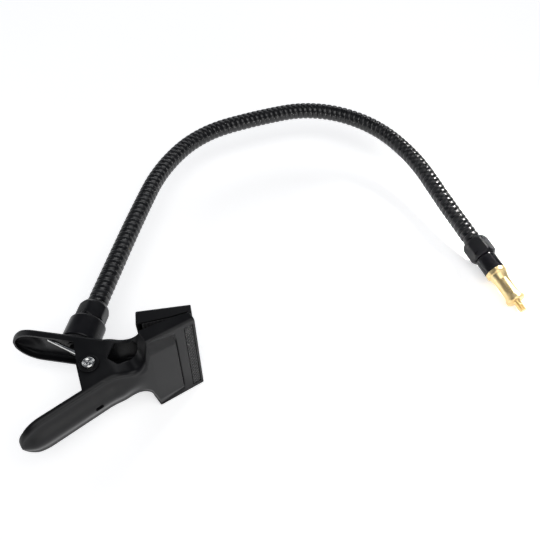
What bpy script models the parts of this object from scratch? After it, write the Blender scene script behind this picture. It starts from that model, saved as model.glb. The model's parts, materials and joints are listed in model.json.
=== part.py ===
"""Clamp-mounted flexible arm: a spring clamp, a gooseneck arm and a brass 5/8 inch light-stand spigot.

The part lies on its side on the ground plane. The clamp rests on the side edges of its jaws, with the
pivot axis upright, and the brass spigot at the arm's far end touches the ground.
Lengths in this file are in millimetres; MM turns them into the scene's metres.
"""
import math

import bmesh
import bpy
from mathutils import Matrix, Vector

MM = 0.001
GAP = 0.3                      # clearance between neighbouring pieces
UP = Vector((0.0, 0.0, 1.0))

# ---- where the part lies -------------------------------------------------------------------------
FOOTPRINT_CENTRE = (13.305, 354.728)   # subtracted, so that the origin is under the middle of the part
PIVOT = Vector((-117.8, 222.0, 39.0))
LOWER_HEADING = 34.0           # degrees, direction of the lower jaw in plan
UPPER_HEADING = 9.5            # degrees, direction of the upper jaw in plan, jaws closed

# ---- clamp halves, each in its own frame: a along the jaw, w along the pivot, n outwards ----------
SHEET = 1.4                    # steel thickness
HANDLE_BEND = 3.2              # outside bend radius along the edges of the handle's back
JAW_BEND = 2.0                 # and along the edges of the jaw's face
JAW_HALF_WIDTH = 39.0
JAW_BACK = 21.5                # pivot axis to the jaw's outer face
JAW_START = 33.6               # along the jaw from the pivot
LOWER_JAW_TIP = 68.5
UPPER_JAW_TIP = 69.8
CORNER_TRIM = 0.7              # how far the jaw's tip corners are rounded
NECK_START = 22.0
UPPER_NECK_FLARE = (10.0, 10.0)    # concave corner where the neck widens to the jaw, in a and in w
LOWER_NECK_FLARE = (9.0, 12.0)
LOWER_JAW_SLANT = 2.6          # how far the lower jaw's rear edge slopes back towards the neck
NECK_STEP = 3.5                # how much narrower the neck is than the handle, each side
LOWER_NECK_EDGE = 9.0          # n of the lower neck wall's free edge
UPPER_NECK_EDGE = 17.2
UPPER_NECK_DEEPENS = 28.0      # a from which the upper neck's wall grows deeper towards the jaw
EAR_RADIUS = 9.5               # round end of the ear, about the pivot
EAR_REAR = -11.5
EAR_FRONT = 15.4
LOWER_HANDLE_FLANGE = 4.0      # depth of the handles' side walls
UPPER_HANDLE_FLANGE = 6.5
HANDLE_CROWN = 4.5             # rise of the handle's rounded back
TIP_DROP = 1.6                 # how far the back falls towards the handle's tip
HANDLE_ROUND = 17.0            # length of the rounded handle tip
LOWER_HANDLE_HALF_WIDTH = 16.5
UPPER_HANDLE_HALF_WIDTH = 14.8
LOWER_HANDLE_END = -57.5
UPPER_HANDLE_END = -56.5
LOWER_HANDLE_BACK = 17.9       # pivot axis to the lower handle's back
LOWER_KINK = 6.3               # degrees between the lower jaw and the lower handle
LOWER_KINK_AT = 2.0
UPPER_KINK = 18.5              # degrees between the upper jaw and the upper handle
UPPER_KINK_AT = 8.2
JAW_FLANGE_REAR = 10.5         # n of the jaw wall's free edge at its rear end
FLANGES_MEET = 57.0            # a where the two jaws' walls come together
HALF_ANGLE = (LOWER_HEADING - UPPER_HEADING) / 2.0
FLANGE_CLEAR = 0.7
PANEL_RISE = 1.8               # raised panel pressed into the jaw's face
PANEL_FRONT = 52.5
PANEL_HALF_REAR = 34.0
PANEL_HALF_FRONT = 30.0
PANEL_WALL = 1.0
SLOT_REAR = 60.2               # window near the tip in which the pad's ribbed key shows
SLOT_FRONT = 66.9
SLOT_HALF_LENGTH = 34.0
SLOT_CORNER = 0.5
HANDLE_HOLE_AT = -6.0          # small oblong hole in the lower handle's back
HANDLE_HOLE_SIZE = (6.0, 3.6)

# ---- pads ----------------------------------------------------------------------------------------
PAD_REAR = 37.2
PAD_FRONT = 67.6
PAD_PROUD = 0.45               # how far the pad stands beyond the jaw's walls
PAD_KEY_BELOW = 0.25

# ---- pivot and spring ----------------------------------------------------------------------------
RIVET_RADIUS = 3.0
RIVET_HEAD_RADIUS = 4.0
RIVET_HEAD_HEIGHT = 1.7
EAR_HOLE_RADIUS = 3.25
WASHER_RADIUS = 6.5
WASHER_THICK = 1.0
SLEEVE_RADIUS = 4.4
SPRING_WIRE = 1.35             # wire radius
SPRING_RADIUS = 6.5            # mean coil radius
SPRING_HALF_SPAN = 9.5
SPRING_SPLIT = 1.9             # half the distance between the two halves' coil ends
SPRING_TURNS = 5
UPPER_LEG_REACH = (38.0, 19.2)
LOWER_LEG_REACH = (38.0, 18.9)

# ---- boss and base of the arm --------------------------------------------------------------------
BOSS_ALONG_HANDLE = 20.0       # from the pivot towards the handle's end
HANDLE_PLANE = 23.0            # pivot axis to the upper handle's back
GASKET_THICK = 1.2
BOSS_RADIUS = 13.3
BOSS_LENGTH = 18.7
BOSS_CHAMFER = 1.6
BOSS_HOLE_RADIUS = 3.4
BOSS_HOLE_DEPTH = 14.5
SCREW_RADIUS = 3.0
SCREW_HEAD_RADIUS = 5.2
SCREW_HEAD_HEIGHT = 3.2
SCREW_LENGTH = 13.5
SCREW_WASHER_RADIUS = 7.0
SCREW_WASHER_THICK = 1.0

# ---- arm -----------------------------------------------------------------------------------------
TUBE_RADIUS = 7.6
TUBE_BORE = 4.0
ARM_SEGMENTS = 9
SEGMENT_LENGTH = 58.7
ARM_START_HEADING = 81.0
LEAD_LENGTH = 12.5             # straight tube between the base ferrule and the first bend
ARM_TURNS = (-1.5, -2.0, -19.5, -31.5, -6.5, -38.5, -33.0, -19.5, 4.0)
ARM_CLIMBS = (0.0, 1.9, 2.2, 1.2, -0.2, -1.6, -4.2, -6.3, -6.7, -8.8)
TAIL_LENGTH = 19.5             # straight tube between the last bend and the tip ferrule
TUBE_SEAT = 4.0                # how deep the tube sits in each ferrule
FERRULE_FLATS = 20.5
FERRULE_LENGTH = 14.3
FERRULE_CORNER = 11.4
TIP_FERRULE_LENGTH = 17.2
SOCKET_RADIUS = 8.7
SOCKET_LENGTH = 14.6
SPIGOT_BASE = 8.75
SPIGOT_NECK = 6.3
SPIGOT_TIP = 7.95              # 5/8 inch stud
THREAD_RADIUS = 3.175          # 1/4 inch photographic thread

ROUND = 24                     # sides of small round pieces
TUBE_SIDES = 20


# ---- scene helpers -------------------------------------------------------------------------------
def clear_scene():
    for obj in list(bpy.data.objects):
        bpy.data.objects.remove(obj, do_unlink=True)


def material(name, colour, metallic, roughness):
    mat = bpy.data.materials.new(name)
    mat.use_nodes = True
    shader = mat.node_tree.nodes["Principled BSDF"]
    shader.inputs["Base Color"].default_value = (*colour, 1.0)
    shader.inputs["Metallic"].default_value = metallic
    shader.inputs["Roughness"].default_value = roughness
    return mat


def to_scene(point):
    """Metres in the part's frame, from millimetres in the layout's frame."""
    return Vector(((point[0] - FOOTPRINT_CENTRE[0]) * MM, (point[1] - FOOTPRINT_CENTRE[1]) * MM,
                   point[2] * MM))


def add_object(name, bm, origin, mat=None, smooth=None):
    """Make an object from a bmesh in millimetres, with its origin at a point of the layout."""
    for vert in bm.verts:
        vert.co = to_scene(vert.co) - to_scene(origin)
    bmesh.ops.recalc_face_normals(bm, faces=bm.faces)
    mesh = bpy.data.meshes.new(name)
    bm.to_mesh(mesh)
    bm.free()
    obj = bpy.data.objects.new(name, mesh)
    obj.location = to_scene(origin)
    bpy.context.scene.collection.objects.link(obj)
    if mat is not None:
        mesh.materials.append(mat)
    if smooth is not None:
        mesh.shade_smooth()
        mesh.set_sharp_from_angle(angle=math.radians(smooth))
    return obj


def cut(target, name, bm, origin):
    """Subtract a closed shape from an object; the cutter stays in the scene, hidden from renders."""
    cutter = add_object(name, bm, origin)
    cutter.hide_render = True
    cutter.display_type = 'WIRE'
    mod = target.modifiers.new(name, 'BOOLEAN')
    mod.operation = 'DIFFERENCE'
    mod.solver = 'EXACT'
    mod.object = cutter


def loft(sections, closed_ends=True, ring=False):
    """Join rings of equal length; the ends are capped, or the last ring joins the first."""
    bm = bmesh.new()
    rows = [[bm.verts.new(p) for p in section] for section in sections]
    count = len(rows[0])
    pairs = list(zip(rows, rows[1:]))
    if ring:
        pairs.append((rows[-1], rows[0]))
    for low, high in pairs:
        for i in range(count):
            j = (i + 1) % count
            bm.faces.new((low[i], low[j], high[j], high[i]))
    if closed_ends and not ring:
        bm.faces.new(rows[0][::-1])
        bm.faces.new(rows[-1])
    return bm


def smooth_step(value, low, high):
    t = min(1.0, max(0.0, (value - low) / (high - low)))
    return t * t * (3.0 - 2.0 * t)


def plan_vector(heading):
    angle = math.radians(heading)
    return Vector((math.cos(angle), math.sin(angle), 0.0))


class Frame:
    """Local axes a, w and n at a point."""

    def __init__(self, origin, along, across, out):
        self.origin = Vector(origin)
        self.along = Vector(along)
        self.across = Vector(across)
        self.out = Vector(out)

    def point(self, a, w, n):
        return self.origin + self.along * a + self.across * w + self.out * n


def lower_frame():
    return Frame(PIVOT, plan_vector(LOWER_HEADING), UP, plan_vector(LOWER_HEADING - 90.0))


def upper_frame():
    return Frame(PIVOT, plan_vector(UPPER_HEADING), -UP, plan_vector(UPPER_HEADING + 90.0))


def axis_frame(origin, direction):
    """Frame whose n axis runs along a direction, for turned pieces."""
    out = Vector(direction).normalized()
    across = UP if abs(out.z) < 0.9 else Vector((1.0, 0.0, 0.0))
    across = (across - out * across.dot(out)).normalized()
    return Frame(origin, across.cross(out), across, out)


def turned(frame, profile, sides=ROUND):
    """Solid of revolution about the frame's n axis; profile is (radius, n) with no zero radius."""
    return loft([[frame.point(r * math.cos(2 * math.pi * k / sides), r * math.sin(2 * math.pi * k / sides), n)
                  for k in range(sides)] for r, n in profile])


def turned_ring(frame, profile, sides=ROUND):
    """Ring of revolution; the profile is a closed loop of (radius, n) points."""
    return loft([[frame.point(r * math.cos(2 * math.pi * k / sides), r * math.sin(2 * math.pi * k / sides), n)
                  for k in range(sides)] for r, n in profile], ring=True)


# ---- clamp shells --------------------------------------------------------------------------------
class Shell:
    """Outline of one pressed clamp half; inset moves the whole outline inwards for the inside face."""

    def __init__(self, frame, half_width, handle_end, upper):
        self.frame = frame
        self.half_width = half_width
        self.handle_end = handle_end
        self.upper = upper
        self.tip = UPPER_JAW_TIP if upper else LOWER_JAW_TIP
        self.flare = UPPER_NECK_FLARE if upper else LOWER_NECK_FLARE
        self.slant = 0.0 if upper else LOWER_JAW_SLANT

    def back(self, a):
        if self.upper:
            return JAW_BACK + max(0.0, UPPER_KINK_AT - a) * math.tan(math.radians(UPPER_KINK))
        kinked = LOWER_HANDLE_BACK + max(0.0, LOWER_KINK_AT - a) * math.tan(math.radians(LOWER_KINK))
        return kinked + (JAW_BACK - LOWER_HANDLE_BACK) * smooth_step(a, 5.0, JAW_START)

    def bend(self, a):
        return HANDLE_BEND + (JAW_BEND - HANDLE_BEND) * smooth_step(a, EAR_FRONT, JAW_START)

    def crown(self, a):
        fade = 1.0 - smooth_step(a, 5.0, JAW_START)
        if self.upper:
            fade = 1.0 - smooth_step(a, -46.0, -34.0)
        return HANDLE_CROWN * fade

    def flange_edge(self, a):
        """n of the side wall's free edge."""
        meet = math.tan(math.radians(HALF_ANGLE))
        if a >= FLANGES_MEET:
            return a * meet + FLANGE_CLEAR
        if a >= JAW_START:
            share = (a - JAW_START) / (FLANGES_MEET - JAW_START)
            return JAW_FLANGE_REAR + (FLANGES_MEET * meet + FLANGE_CLEAR - JAW_FLANGE_REAR) * share
        handle = self.back(a) - (UPPER_HANDLE_FLANGE if self.upper else LOWER_HANDLE_FLANGE)
        neck = UPPER_NECK_EDGE if self.upper else LOWER_NECK_EDGE
        deepens = UPPER_NECK_DEEPENS if self.upper else EAR_FRONT
        if a >= EAR_FRONT:
            share = max(0.0, (a - deepens) / (JAW_START - deepens))
            return neck + (JAW_FLANGE_REAR - neck) * share
        if a > 7.0:
            return -5.9 + (neck + 5.9) * (a - 7.0) / (EAR_FRONT - 7.0)
        if a >= -7.0:
            return -math.sqrt(EAR_RADIUS ** 2 - a * a) + 0.5
        if a > EAR_REAR:
            return -5.9 + (handle + 5.9) * (-7.0 - a) / (-7.0 - EAR_REAR)
        return handle

    def stations(self, inset):
        """(a, half width, share of full bend) along the half, with the round tip and the flared neck."""
        rows = []
        centre = self.handle_end + HANDLE_ROUND
        length = HANDLE_ROUND - inset
        width = self.half_width - inset
        for deg in (14, 26, 38, 50, 62, 74, 90):
            angle = math.radians(deg)
            rows.append((centre - length * math.cos(angle), width * math.sin(angle)))
        neck = self.half_width - NECK_STEP
        for a in (-32.0, -24.0, -18.0, -14.0, EAR_REAR, -9.0, -7.0, -5.2, -2.8, 0.0, 2.8, 5.2, 7.0, 9.8):
            rows.append((a, width))
        for a in (EAR_FRONT - 3.0, EAR_FRONT, 17.8):
            rows.append((a, width - NECK_STEP * smooth_step(a, 9.8, NECK_START)))
        flare_end = JAW_START - self.slant
        for deg in (0, 15, 30, 45, 60, 75):
            angle = math.radians(deg)
            rows.append((flare_end - self.flare[0] + (self.flare[0] + inset) * math.sin(angle),
                         neck + self.flare[1] - (self.flare[1] + inset) * math.cos(angle)))
        full = JAW_HALF_WIDTH - inset
        if inset:
            rows.append((flare_end + inset - 0.05, neck + self.flare[1] - 1.0))
            rows.append((JAW_START + inset, full))
        else:
            rows.append((flare_end - 0.05, neck + self.flare[1] - 1.0))
            rows.append((JAW_START, full - 1.0))
            rows.append((JAW_START + 0.9, full))
        for a in (40.0, 46.0, PANEL_FRONT - 0.6 * inset, PANEL_FRONT + 0.7 - 0.6 * inset, FLANGES_MEET, 62.0):
            rows.append((a, full))
        if inset:
            rows.append((self.tip + 3.0, full))
        else:
            rows.append((self.tip - CORNER_TRIM, full))
            rows.append((self.tip - 0.3 * CORNER_TRIM, full - 0.3 * CORNER_TRIM))
            rows.append((self.tip, full - CORNER_TRIM))
        return rows

    def panel(self, a, inset):
        """Half width and rise of the raised panel."""
        share = (a - JAW_START) / (PANEL_FRONT - JAW_START)
        if a <= JAW_START or a > PANEL_FRONT - 0.6 * inset + 0.01:
            rise = 0.0
        else:
            rise = PANEL_RISE * min(1.0, share)
        half = PANEL_HALF_REAR + (PANEL_HALF_FRONT - PANEL_HALF_REAR) * min(1.0, max(0.0, share))
        return half - 0.4 * inset, rise

    def section(self, a, half, inset, open_to=None):
        tip_drop = TIP_DROP * (1.0 - smooth_step(a, self.handle_end, self.handle_end + 9.0))
        back = self.back(a) - inset - tip_drop
        edge = self.flange_edge(a) if open_to is None else open_to
        bend = min(self.bend(a) - inset, 0.8 * half)
        flat = half - bend
        panel_half, rise = self.panel(a, inset)
        inner = min(panel_half, 0.86 * flat)
        outer = min(panel_half + PANEL_WALL, 0.95 * flat)
        crown = self.crown(a) * min(1.0, half / self.half_width)
        right = [(flat, 0.0), (outer, 0.0), (inner, rise), (0.5 * inner, rise)]
        across = [(-w, lift) for w, lift in right] + [(0.0, rise)] + [(w, lift) for w, lift in reversed(right)]
        points = [(-half, edge), (-half, back - bend)]
        for deg in (30, 60):
            angle = math.radians(deg)
            points.append((-flat - bend * math.cos(angle), back - bend + bend * math.sin(angle)))
        for w, lift in across:
            points.append((w, back + lift + crown * (1.0 - (w / flat) ** 2)))
        for deg in (60, 30):
            angle = math.radians(deg)
            points.append((flat + bend * math.cos(angle), back - bend + bend * math.sin(angle)))
        points += [(half, back - bend), (half, edge)]
        return [self.frame.point(a, w, n) for w, n in points]

    def outside(self):
        return loft([self.section(a, half, 0.0) for a, half in self.stations(0.0)])

    def inside(self):
        deep = -EAR_RADIUS - 8.0
        return loft([self.section(a, half, SHEET, deep) for a, half in self.stations(SHEET)])


def rounded_box(frame, centre, half, radius, axis_reach, steps=4):
    """Prism along n with a rounded rectangular outline in a and w."""
    outline = []
    for quadrant in range(4):
        sign_a = (1, -1, -1, 1)[quadrant]
        sign_w = (1, 1, -1, -1)[quadrant]
        for k in range(steps + 1):
            angle = math.radians(90.0 * quadrant + 90.0 * k / steps)
            outline.append((centre[0] + sign_a * (half[0] - radius) + radius * math.cos(angle),
                            centre[1] + sign_w * (half[1] - radius) + radius * math.sin(angle)))
    return loft([[frame.point(a, w, n) for a, w in outline] for n in axis_reach])


def make_shell(name, shell, mat):
    obj = add_object(name, shell.outside(), PIVOT, mat)
    cut(obj, name + "_inside", shell.inside(), PIVOT)
    pin = axis_frame(PIVOT, UP)
    hole = turned(pin, [(EAR_HOLE_RADIUS, -25.0), (EAR_HOLE_RADIUS, 25.0)])
    cut(obj, name + "_pivot_hole", hole, PIVOT)
    slot_a = (SLOT_REAR + SLOT_FRONT) / 2.0
    slot_half = (SLOT_FRONT - SLOT_REAR) / 2.0
    slot = rounded_box(shell.frame, (slot_a, 0.0), (slot_half, SLOT_HALF_LENGTH), SLOT_CORNER,
                       (JAW_BACK - 4.0, JAW_BACK + 4.0))
    cut(obj, name + "_slot", slot, PIVOT)
    return obj


def make_lower_shell(mat):
    shell = Shell(lower_frame(), LOWER_HANDLE_HALF_WIDTH, LOWER_HANDLE_END, False)
    obj = make_shell("lower_shell", shell, mat)
    half = (HANDLE_HOLE_SIZE[0] / 2.0, HANDLE_HOLE_SIZE[1] / 2.0)
    hole = rounded_box(shell.frame, (HANDLE_HOLE_AT, 0.0), half, half[1] * 0.95, (12.0, 32.0))
    cut(obj, "lower_shell_handle_hole", hole, PIVOT)
    return obj


def make_upper_shell(mat):
    shell = Shell(upper_frame(), UPPER_HANDLE_HALF_WIDTH, UPPER_HANDLE_END, True)
    obj = make_shell("upper_shell", shell, mat)
    hole = turned(boss_frame(), [(BOSS_HOLE_RADIUS, -8.0), (BOSS_HOLE_RADIUS, 8.0)])
    cut(obj, "upper_shell_screw_hole", hole, PIVOT)
    return obj


def make_pad(name, frame, mat):
    """Rubber wedge inside a jaw, with a key that fills the window near the tip."""
    meet = math.tan(math.radians(HALF_ANGLE))
    half = JAW_HALF_WIDTH - SHEET - GAP
    back = JAW_BACK - SHEET - GAP
    key_half = SLOT_HALF_LENGTH - GAP - SLOT_CORNER
    key_top = JAW_BACK - PAD_KEY_BELOW
    chamfer = JAW_BEND - SHEET
    shell = Shell(frame, LOWER_HANDLE_HALF_WIDTH, LOWER_HANDLE_END, False)
    sections = []
    key_rear = SLOT_REAR + GAP
    key_front = SLOT_FRONT - GAP
    rows = [(PAD_REAR, 0.8, back), (PAD_REAR + 0.8, 0.0, back), (46.0, 0.0, back),
            (FLANGES_MEET, 0.0, back), (key_rear, 0.0, back), (key_rear + 0.05, 0.0, key_top),
            (key_front - 0.05, 0.0, key_top), (key_front, 0.0, back),
            (PAD_FRONT - 0.8, 0.0, back), (PAD_FRONT, 0.8, back)]
    for a, trim, key in rows:
        face = shell.flange_edge(a) - PAD_PROUD + trim
        face = max(face, a * meet + 0.2)
        w_half = half - trim
        points = [(-w_half, face + 0.8), (-w_half + 0.8, face), (w_half - 0.8, face), (w_half, face + 0.8),
                  (w_half, back - chamfer), (w_half - chamfer, back), (key_half, back), (key_half - 0.05, key),
                  (-key_half + 0.05, key), (-key_half, back), (chamfer - w_half, back), (-w_half, back - chamfer)]
        sections.append([frame.point(a, w, n) for w, n in points])
    return add_object(name, loft(sections), PIVOT, mat)


# ---- pivot pieces --------------------------------------------------------------------------------
def make_rivet(mat):
    top = LOWER_HANDLE_HALF_WIDTH + GAP + WASHER_THICK + GAP
    head = RIVET_HEAD_HEIGHT
    profile = [(RIVET_HEAD_RADIUS * 0.55, -top - head), (RIVET_HEAD_RADIUS * 0.9, -top - 0.75 * head),
               (RIVET_HEAD_RADIUS, -top - 0.35 * head), (RIVET_HEAD_RADIUS, -top), (RIVET_RADIUS, -top),
               (RIVET_RADIUS, top), (RIVET_HEAD_RADIUS, top), (RIVET_HEAD_RADIUS, top + 0.35 * head),
               (RIVET_HEAD_RADIUS * 0.9, top + 0.75 * head), (RIVET_HEAD_RADIUS * 0.55, top + head)]
    return add_object("pivot_rivet", turned(axis_frame(PIVOT, UP), profile), PIVOT, mat, 35)


def make_rivet_washers(mat):
    low = LOWER_HANDLE_HALF_WIDTH + GAP
    for name, sign in (("rivet_washer_top", 1.0), ("rivet_washer_bottom", -1.0)):
        loop = [(EAR_HOLE_RADIUS, sign * low), (WASHER_RADIUS, sign * low),
                (WASHER_RADIUS, sign * (low + WASHER_THICK)), (EAR_HOLE_RADIUS, sign * (low + WASHER_THICK))]
        add_object(name, turned_ring(axis_frame(PIVOT, UP), loop), PIVOT, mat, 35)


def make_sleeve(mat):
    half = UPPER_HANDLE_HALF_WIDTH - SHEET - GAP
    loop = [(EAR_HOLE_RADIUS, -half), (SLEEVE_RADIUS, -half), (SLEEVE_RADIUS, half), (EAR_HOLE_RADIUS, half)]
    return add_object("pivot_sleeve", turned_ring(axis_frame(PIVOT, UP), loop), PIVOT, mat, 35)


def leg_tangent(reach):
    """Angles, from the handle's direction, of a leg that leaves the coil and reaches a point."""
    distance = math.hypot(*reach)
    direction = math.degrees(math.atan2(reach[1], reach[0]) - math.asin(SPRING_RADIUS / distance))
    return direction, direction + 90.0


def sweep(path, radius, sides):
    """Round wire along a list of points."""
    sections = []
    across = None
    for i, point in enumerate(path):
        ahead = path[min(i + 1, len(path) - 1)] - path[max(i - 1, 0)]
        ahead.normalize()
        if across is None:
            across = ahead.orthogonal().normalized()
        across = (across - ahead * across.dot(ahead)).normalized()
        other = ahead.cross(across)
        scale = 0.6 if i in (0, len(path) - 1) else 1.0
        sections.append([point + (across * math.cos(2 * math.pi * k / sides)
                                  + other * math.sin(2 * math.pi * k / sides)) * radius * scale
                         for k in range(sides)])
    return loft(sections)


def spring_angles():
    """Plan angles at which the coil meets the lower and upper legs; the coil rises anticlockwise."""
    low = LOWER_HEADING + 180.0 + leg_tangent(LOWER_LEG_REACH)[1]
    high = ARM_START_HEADING + 90.0 - leg_tangent(UPPER_LEG_REACH)[1]
    return low, high + 360.0 * math.ceil((low - high) / 360.0) + 360.0 * (SPRING_TURNS - 1)


def coil_point(angle, low, high):
    height = -SPRING_HALF_SPAN + 2.0 * SPRING_HALF_SPAN * (angle - low) / (high - low)
    return PIVOT + plan_vector(angle) * SPRING_RADIUS + UP * height


def make_spring_half(name, upper, mat):
    low, high = spring_angles()
    middle = (low + high) / 2.0
    clear = (high - low) * SPRING_SPLIT / (2.0 * SPRING_HALF_SPAN)
    steps = 34
    if upper:
        start, stop = middle + clear, high
        end_heading, reach = ARM_START_HEADING + 90.0 - leg_tangent(UPPER_LEG_REACH)[0], UPPER_LEG_REACH
    else:
        start, stop = middle - clear, low
        end_heading, reach = LOWER_HEADING + 180.0 + leg_tangent(LOWER_LEG_REACH)[0], LOWER_LEG_REACH
    path = [coil_point(start + (stop - start) * k / steps, low, high) for k in range(steps + 1)]
    length = math.sqrt(reach[0] ** 2 + reach[1] ** 2 - SPRING_RADIUS ** 2)
    for share in (0.15, 0.5, 0.985, 1.0):
        path.append(path[steps] + plan_vector(end_heading) * length * share)
    return add_object(name, sweep(path, SPRING_WIRE, 8), PIVOT, mat, 60)


# ---- boss, screw and ferrules --------------------------------------------------------------------
def boss_frame():
    """n runs out of the upper handle's back along the boss; n = 0 on the back."""
    out = plan_vector(ARM_START_HEADING)
    handle = plan_vector(ARM_START_HEADING + 90.0)
    return axis_frame(PIVOT + handle * BOSS_ALONG_HANDLE + out * HANDLE_PLANE, out)


def boss_levels():
    """n of the gasket, boss, ferrule and tube, from the handle's back."""
    gasket = GAP
    boss = gasket + GASKET_THICK + GAP
    ferrule = boss + BOSS_LENGTH + GAP
    return gasket, boss, ferrule, ferrule + FERRULE_LENGTH


def make_boss_pieces(plastic, rubber, steel):
    frame = boss_frame()
    gasket, boss, _, _ = boss_levels()
    loop = [(BOSS_HOLE_RADIUS, gasket), (BOSS_RADIUS - 1.0, gasket), (BOSS_RADIUS - 1.0, gasket + GASKET_THICK),
            (BOSS_HOLE_RADIUS, gasket + GASKET_THICK)]
    add_object("boss_gasket", turned_ring(frame, loop, 32), frame.origin, rubber, 35)
    top = boss + BOSS_LENGTH
    hole_end = boss + BOSS_HOLE_DEPTH
    profile = [(0.4, hole_end), (BOSS_HOLE_RADIUS, hole_end - 1.5), (BOSS_HOLE_RADIUS, boss),
               (BOSS_RADIUS - 0.6, boss), (BOSS_RADIUS, boss + 0.6), (BOSS_RADIUS, top - BOSS_CHAMFER),
               (BOSS_RADIUS - 0.5, top - 0.5 * BOSS_CHAMFER), (BOSS_RADIUS - BOSS_CHAMFER, top), (0.4, top)]
    add_object("arm_boss", turned(frame, profile, 32), frame.origin, plastic, 35)
    under = -SHEET * math.cos(math.radians(UPPER_KINK)) - GAP
    washer = under - SCREW_WASHER_THICK
    loop = [(BOSS_HOLE_RADIUS, washer), (SCREW_WASHER_RADIUS, washer), (SCREW_WASHER_RADIUS, under),
            (BOSS_HOLE_RADIUS, under)]
    add_object("boss_washer", turned_ring(frame, loop), frame.origin, steel, 35)
    seat = washer - GAP
    low = seat - SCREW_HEAD_HEIGHT
    profile = [(SCREW_HEAD_RADIUS * 0.6, low), (SCREW_HEAD_RADIUS * 0.92, low + 0.7),
               (SCREW_HEAD_RADIUS, low + 1.6), (SCREW_HEAD_RADIUS, seat), (SCREW_RADIUS, seat),
               (SCREW_RADIUS, boss + SCREW_LENGTH - 2.6), (SCREW_RADIUS - 0.8, boss + SCREW_LENGTH - 1.6)]
    add_object("boss_screw", turned(frame, profile), frame.origin, steel, 35)


def hex_radius(angle, flats, corner):
    """Distance from the axis to a hexagon's side in a direction, with its corners turned down."""
    side = (flats / 2.0) / math.cos((angle + math.pi / 6.0) % (math.pi / 3.0) - math.pi / 6.0)
    return min(side, corner)


def make_ferrule(name, frame, low, length, seat_at_top, origin, mat):
    """Hexagonal ferrule with turned-down ends; the tube sits in a counterbore at one end."""
    sides = 36
    seat_radius = TUBE_RADIUS + GAP
    through = TUBE_BORE
    bevel = 1.3
    high = low + length
    if seat_at_top:
        inner = [(seat_radius, high), (seat_radius, high - TUBE_SEAT - GAP), (through, high - TUBE_SEAT - GAP),
                 (through, low)]
        outer = [(0.93, low), (1.0, low + bevel), (1.0, high - bevel), (0.9, high)]
    else:
        inner = [(through, high), (through, low + TUBE_SEAT + GAP), (seat_radius, low + TUBE_SEAT + GAP),
                 (seat_radius, low)]
        outer = [(0.9, low), (1.0, low + bevel), (1.0, high - bevel), (0.93, high)]
    rows = []
    for share, n in outer:
        ring = []
        for k in range(sides):
            angle = 2 * math.pi * k / sides
            limit = FERRULE_CORNER * (1.0 if share == 1.0 else 0.93)
            radius = min(hex_radius(angle, FERRULE_FLATS, FERRULE_CORNER), limit)
            if share < 1.0:
                radius = min(radius, FERRULE_FLATS / 2.0 * (share + 0.08))
            ring.append(frame.point(radius * math.cos(angle), radius * math.sin(angle), n))
        rows.append(ring)
    for radius, n in inner:
        rows.append([frame.point(radius * math.cos(2 * math.pi * k / sides),
                                 radius * math.sin(2 * math.pi * k / sides), n) for k in range(sides)])
    return add_object(name, loft(rows, ring=True), origin, mat, 25)


# ---- arm -----------------------------------------------------------------------------------------
def arm_route():
    """Joint stations and a function that gives point and direction along each bent segment."""
    frame = boss_frame()
    start = frame.origin + frame.out * (boss_levels()[3] + LEAD_LENGTH)
    steps = 12
    segments = []
    point = start.copy()
    heading = ARM_START_HEADING
    for k in range(ARM_SEGMENTS):
        rows = []
        for i in range(steps + 1):
            share = i / steps
            turn = heading + ARM_TURNS[k] * share
            climb = math.radians(ARM_CLIMBS[k] + (ARM_CLIMBS[k + 1] - ARM_CLIMBS[k]) * share)
            ahead = plan_vector(turn) * math.cos(climb) + UP * math.sin(climb)
            rows.append((point.copy(), ahead))
            if i < steps:
                mid = share + 0.5 / steps
                turn = heading + ARM_TURNS[k] * mid
                climb = math.radians(ARM_CLIMBS[k] + (ARM_CLIMBS[k + 1] - ARM_CLIMBS[k]) * mid)
                point += (plan_vector(turn) * math.cos(climb) + UP * math.sin(climb)) * SEGMENT_LENGTH / steps
        heading += ARM_TURNS[k]
        segments.append(rows)
    return segments


def tube_ring(point, ahead, radius):
    side = UP.cross(ahead).normalized()
    top = ahead.cross(side)
    return [point + (side * math.cos(2 * math.pi * k / TUBE_SIDES)
                     + top * math.sin(2 * math.pi * k / TUBE_SIDES)) * radius for k in range(TUBE_SIDES)]


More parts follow.
